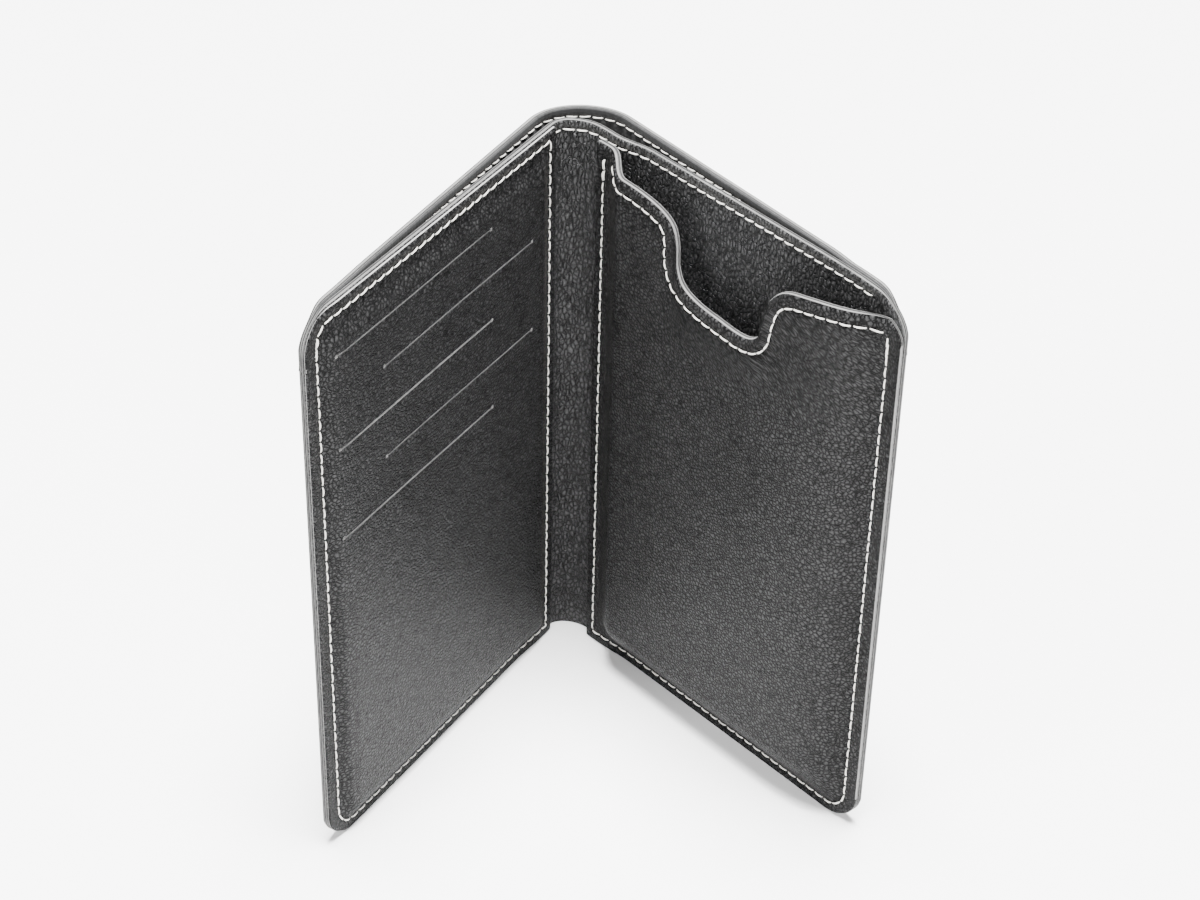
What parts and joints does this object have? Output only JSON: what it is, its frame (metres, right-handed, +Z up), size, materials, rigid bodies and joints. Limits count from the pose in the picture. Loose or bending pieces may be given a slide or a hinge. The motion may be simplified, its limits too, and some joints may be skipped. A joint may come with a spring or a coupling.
{
  "type": "phone wallet case",
  "caption": "Folding leather phone wallet standing open: a phone pocket leaf and a card leaf with cut slits, joined by a soft spine with a bill compartment behind.",
  "frame": {"origin": "middle of the standing footprint, on the surface that the wallet stands on", "axes": "+Z up along both fold lines; the phone leaf lies along +X with its pocket facing -Y; the card leaf runs towards -Y, 75 degrees from the phone leaf"},
  "size_m": [0.1078, 0.108, 0.1505],
  "materials": {
    "leather": "fine pebbled grain, satin",
    "inner_leather": "soft pebbled grain, satin",
    "lining": "matte suede lining",
    "pocket_cloth": "thin matte lining cloth",
    "thread": "waxed off-white sewing thread"
  },
  "bodies": {
    "spine": {"spine_cover": "leather", "spine_cover_lining": "lining", "spine_inner_sheet": "inner_leather", "spine_inner_lining": "lining", "spine_inner_hem": "thread", "spine_cover_hem": "thread"},
    "phone_leaf": {"cover_phone_side": "leather", "cover_lining_phone_side": "lining", "cover_hem_phone_side": "thread", "inner_sheet_phone_side": "inner_leather", "inner_lining_phone_side": "lining", "inner_hem_phone_side": "thread", "phone_pocket_front": "leather", "phone_pocket_lining": "lining", "phone_pocket_seam": "thread", "phone_mouth_seam": "thread"},
    "card_leaf": {"cover_card_side": "leather", "cover_lining_card_side": "lining", "cover_hem_card_side": "thread", "inner_sheet_card_side": "inner_leather", "inner_lining_card_side": "lining", "card_panel": "leather", "card_pocket_1": "pocket_cloth", "card_pocket_2": "pocket_cloth", "card_pocket_3": "pocket_cloth", "card_pocket_4": "pocket_cloth", "card_pocket_5": "pocket_cloth", "card_panel_seam": "thread"}
  },
  "joints": [
    {"name": "phone_leaf_fold", "type": "hinge", "parent": "spine", "child": "phone_leaf", "pos_m": [-0.03935, 0.04466, 0.07525], "axis": [0, 0, 1], "range_deg": [-48, 42], "deforming": ["spine_cover", "spine_cover_lining", "spine_inner_sheet", "spine_inner_lining", "spine_inner_hem", "spine_cover_hem"]},
    {"name": "card_leaf_fold", "type": "hinge", "parent": "spine", "child": "card_leaf", "pos_m": [-0.04805, 0.03691, 0.07525], "axis": [0, 0, 1], "range_deg": [-63, 27], "deforming": ["spine_cover", "spine_cover_lining", "spine_inner_sheet", "spine_inner_lining", "spine_inner_hem", "spine_cover_hem"]}
  ]
}
